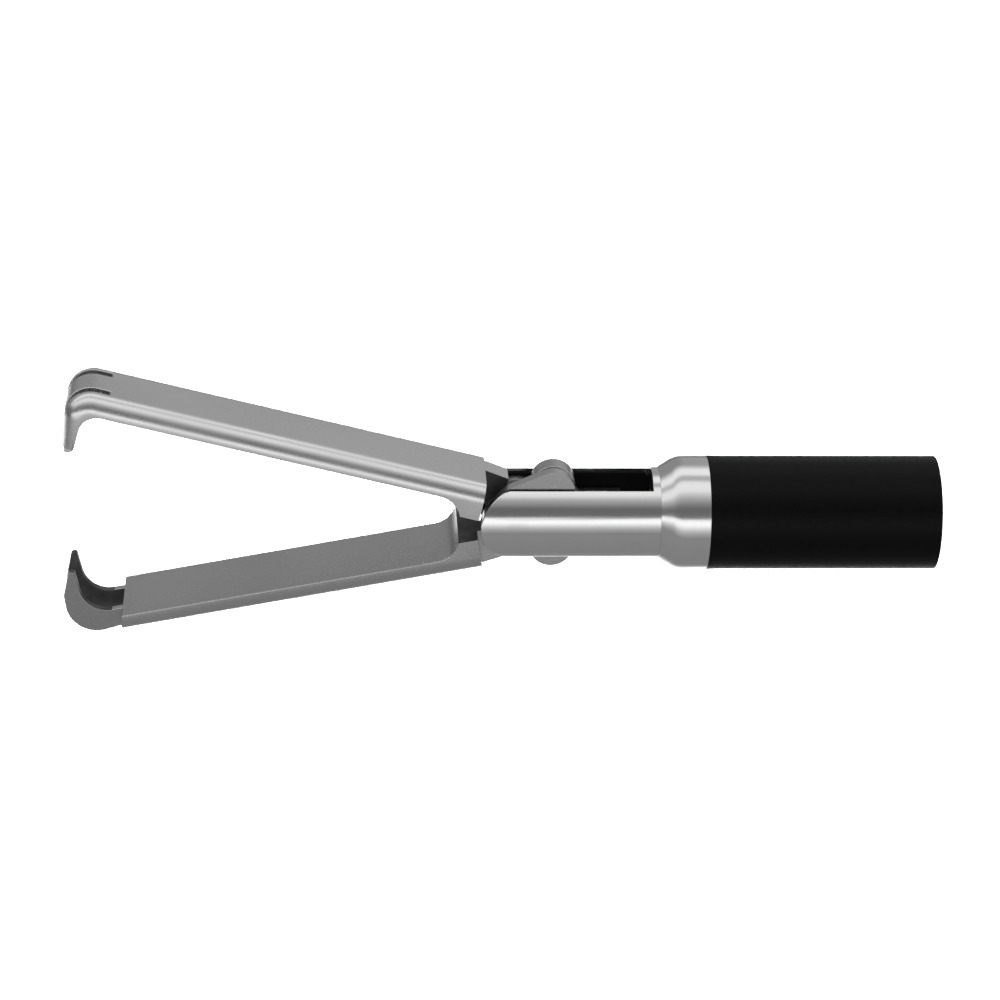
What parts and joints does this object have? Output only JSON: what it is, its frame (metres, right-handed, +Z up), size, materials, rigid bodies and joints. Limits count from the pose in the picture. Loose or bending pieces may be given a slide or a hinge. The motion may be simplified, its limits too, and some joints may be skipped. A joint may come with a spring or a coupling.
{
  "type": "laparoscopic grasper",
  "caption": "Working end of a 10 mm laparoscopic claw grasper: three-fingered and two-toothed jaws in a slotted fork, moved by a pull rod through a double link mechanism.",
  "frame": {"origin": "centre of the shaft's cut end", "axes": "+X along the shaft, away from the jaws; +Y along the jaws' pivot pin; +Z up, on the side of the three-fingered jaw"},
  "size_m": [0.0769, 0.01, 0.0231],
  "materials": {
    "jaw_steel": "satin, glass-bead blasted and brushed",
    "fork_steel": "turned and polished",
    "link_steel": "ground",
    "pin_steel": "ground flush",
    "rod_steel": "drawn",
    "black_polymer": "matt",
    "black_insulation": "shrunk, satin gloss",
    "ptfe": "waxy",
    "peek": "machined"
  },
  "bodies": {
    "shaft": {"shaft_tube": "rod_steel", "shaft_insulation": "black_insulation", "nose_collar": "fork_steel", "fork": "fork_steel", "jaw_pivot_pin": "pin_steel", "slot_liner_left": "black_polymer", "slot_liner_right": "black_polymer", "rod_guide_bush": "peek", "rod_centring_disc": "peek", "lock_pins": "pin_steel"},
    "upper_jaw": {"upper_jaw": "jaw_steel", "upper_link_rivet": "pin_steel"},
    "lower_jaw": {"lower_jaw": "jaw_steel", "lower_link_rivet": "pin_steel"},
    "upper_link": {"upper_link": "link_steel"},
    "lower_link": {"lower_link": "link_steel"},
    "pull_rod": {"pull_rod": "rod_steel", "rod_yoke": "link_steel", "yoke_pin": "pin_steel", "rod_sleeve": "ptfe"}
  },
  "joints": [
    {"name": "upper_jaw_hinge", "type": "hinge", "parent": "shaft", "child": "upper_jaw", "pos_m": [-0.0371, 0, 0], "axis": [0, 1, 0], "range_deg": [-12.5, 10]},
    {"name": "lower_jaw_hinge", "type": "hinge", "parent": "shaft", "child": "lower_jaw", "pos_m": [-0.0371, 0, 0], "axis": [0, 1, 0], "range_deg": [-10, 12.5]},
    {"name": "upper_link_hinge", "type": "hinge", "parent": "upper_jaw", "child": "upper_link", "pos_m": [-0.03395, 0.0006, -0.003], "axis": [0, 1, 0], "range_deg": [-20, 25]},
    {"name": "lower_link_hinge", "type": "hinge", "parent": "lower_jaw", "child": "lower_link", "pos_m": [-0.03395, -0.0006, 0.003], "axis": [0, 1, 0], "range_deg": [-25, 20]},
    {"name": "rod_slide", "type": "slide", "parent": "shaft", "child": "pull_rod", "axis": [1, 0, 0], "range_m": [-0.00105, 0.0013]}
  ],
  "couplings": [
    {"joint": "lower_jaw_hinge", "follows": "upper_jaw_hinge", "ratio": -1},
    {"joint": "upper_link_hinge", "follows": "upper_jaw_hinge", "ratio": -2},
    {"joint": "lower_link_hinge", "follows": "upper_jaw_hinge", "ratio": 2},
    {"joint": "rod_slide", "follows": "upper_jaw_hinge", "m_per_rad": -0.00587}
  ]
}
